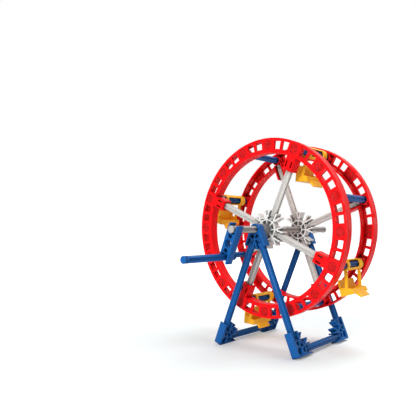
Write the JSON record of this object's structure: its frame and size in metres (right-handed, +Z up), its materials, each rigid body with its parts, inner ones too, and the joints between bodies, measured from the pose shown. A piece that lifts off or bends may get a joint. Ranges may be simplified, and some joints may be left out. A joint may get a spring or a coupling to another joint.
{
  "type": "toy ferris wheel",
  "caption": "Hand cranked toy ferris wheel of snap-together rods and connectors: an A-frame stand, a wheel of two open rims, and seats that swing on rods between them.",
  "frame": {"origin": "on the table, under the middle of the whole toy's box", "axes": "+Z up, +Y along the axle and away from the crank, +X to the right as seen from the crank's side"},
  "size_m": [0.1198, 0.1388, 0.1349],
  "materials": {
    "red_plastic": "glossy",
    "blue_plastic": "glossy",
    "white_plastic": "glossy",
    "yellow_plastic": "glossy",
    "grey_plastic": "semi-gloss",
    "dark_grey_plastic": "semi-gloss"
  },
  "bodies": {
    "stand": {"front_frame_top": "blue_plastic", "rear_frame_top": "blue_plastic", "front_left_leg": "blue_plastic", "front_right_leg": "blue_plastic", "rear_left_leg": "blue_plastic", "rear_right_leg": "blue_plastic", "front_left_foot": "blue_plastic", "front_right_foot": "blue_plastic", "rear_left_foot": "blue_plastic", "rear_right_foot": "blue_plastic", "left_base_rod": "blue_plastic", "right_base_rod": "blue_plastic"},
    "wheel": {"front_rim_1": "red_plastic", "front_rim_2": "red_plastic", "front_rim_3": "red_plastic", "front_rim_4": "red_plastic", "rear_rim_1": "red_plastic", "rear_rim_2": "red_plastic", "rear_rim_3": "red_plastic", "rear_rim_4": "red_plastic", "front_hub": "white_plastic", "rear_hub": "white_plastic", "front_spoke_1": "white_plastic", "front_spoke_2": "white_plastic", "front_spoke_3": "white_plastic", "front_spoke_4": "white_plastic", "rear_spoke_1": "white_plastic", "rear_spoke_2": "white_plastic", "rear_spoke_3": "white_plastic", "rear_spoke_4": "white_plastic", "gondola_rod_1": "blue_plastic", "gondola_rod_2": "blue_plastic", "gondola_rod_3": "blue_plastic", "gondola_rod_4": "blue_plastic", "cross_rod_1": "blue_plastic", "cross_rod_2": "blue_plastic", "cross_rod_3": "blue_plastic", "cross_rod_4": "blue_plastic", "axle": "grey_plastic", "front_collar": "dark_grey_plastic", "crank_arm": "blue_plastic", "crank_handle": "blue_plastic"},
    "gondola_1": {"gondola_1": "yellow_plastic"},
    "gondola_2": {"gondola_2": "yellow_plastic"},
    "gondola_3": {"gondola_3": "yellow_plastic"},
    "gondola_4": {"gondola_4": "yellow_plastic"}
  },
  "joints": [
    {"name": "wheel_spin", "type": "hinge", "parent": "stand", "child": "wheel", "pos_m": [0.00071, 0.01545, 0.07723], "axis": [0, 1, 0], "continuous": true},
    {"name": "gondola_1_swing", "type": "hinge", "parent": "wheel", "child": "gondola_1", "pos_m": [0.02251, 0.01945, 0.12598], "axis": [0, 1, 0], "continuous": true},
    {"name": "gondola_2_swing", "type": "hinge", "parent": "wheel", "child": "gondola_2", "pos_m": [-0.04804, 0.01945, 0.09904], "axis": [0, 1, 0], "continuous": true},
    {"name": "gondola_3_swing", "type": "hinge", "parent": "wheel", "child": "gondola_3", "pos_m": [-0.0211, 0.01945, 0.02849], "axis": [0, 1, 0], "continuous": true},
    {"name": "gondola_4_swing", "type": "hinge", "parent": "wheel", "child": "gondola_4", "pos_m": [0.04945, 0.01945, 0.05543], "axis": [0, 1, 0], "continuous": true}
  ]
}
